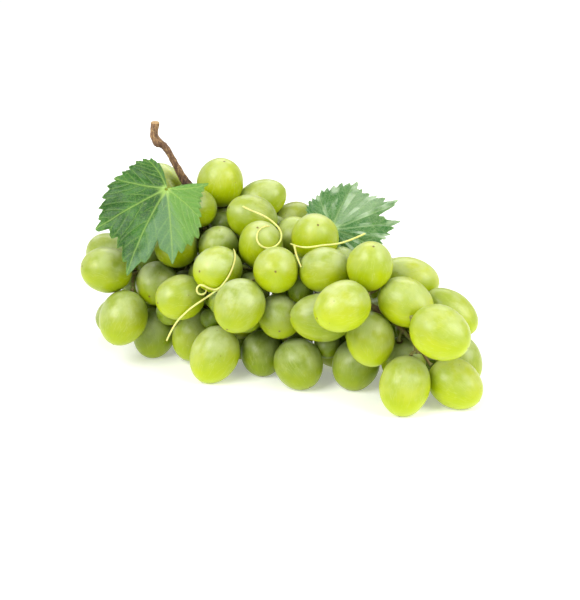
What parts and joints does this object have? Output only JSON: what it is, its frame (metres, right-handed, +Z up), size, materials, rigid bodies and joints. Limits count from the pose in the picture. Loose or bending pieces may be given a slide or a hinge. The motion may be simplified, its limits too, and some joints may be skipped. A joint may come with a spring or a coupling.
{
  "type": "bunch of grapes",
  "caption": "Bunch of oval white table grapes lying on its side, with a woody stalk, two lobed vine leaves and loose curling tendrils.",
  "frame": {"origin": "on the table the bunch lies on, under the middle of its outline", "axes": "+Z up, +X from the stalk end towards the tip, and -Y the side most berries face"},
  "size_m": [0.1802, 0.1384, 0.1043],
  "materials": {
    "berry": "semi-gloss skin with a thin bloom",
    "stem": "rough brown bark, greener on the fine branches",
    "leaf": "satin, veined",
    "tendril": "satin"
  },
  "bodies": {
    "root": {"berry_left_low_1": "berry", "berry_left_low_2": "berry", "berry_left_mid_1": "berry", "berry_left_mid_2": "berry", "berry_left_high_1": "berry", "berry_left_high_2": "berry", "berry_front_low_1": "berry", "berry_front_low_2": "berry", "berry_front_low_3": "berry", "berry_front_low_4": "berry", "berry_front_low_5": "berry", "berry_front_mid_1": "berry", "berry_front_mid_2": "berry", "berry_front_mid_3": "berry", "berry_front_mid_4": "berry", "berry_front_mid_5": "berry", "berry_front_mid_6": "berry", "berry_front_high_1": "berry", "berry_front_high_2": "berry", "berry_front_high_3": "berry", "berry_front_high_4": "berry", "berry_front_high_5": "berry", "berry_front_high_6": "berry", "berry_ridge_1": "berry", "berry_ridge_2": "berry", "berry_ridge_3": "berry", "berry_ridge_4": "berry", "berry_ridge_5": "berry", "berry_ridge_6": "berry", "berry_ridge_7": "berry", "berry_ridge_8": "berry", "berry_ridge_9": "berry", "berry_ridge_10": "berry", "berry_ridge_11": "berry", "berry_inner_1": "berry", "berry_inner_2": "berry", "berry_inner_3": "berry", "berry_tip_1": "berry", "berry_tip_2": "berry", "berry_tip_3": "berry", "berry_tip_4": "berry", "berry_tip_5": "berry", "berry_tip_6": "berry", "berry_tip_7": "berry", "berry_tip_8": "berry", "berry_back_low_1": "berry", "berry_back_low_2": "berry", "berry_back_low_3": "berry", "berry_back_low_4": "berry", "berry_back_mid_1": "berry", "berry_back_mid_2": "berry", "berry_back_mid_3": "berry", "berry_back_mid_4": "berry", "berry_back_high_1": "berry", "stem": "stem", "leaf_front": "leaf", "leaf_back": "leaf", "tendril_curl": "tendril", "tendril_fork": "tendril", "tendril_three": "tendril"}
  },
  "joints": []
}
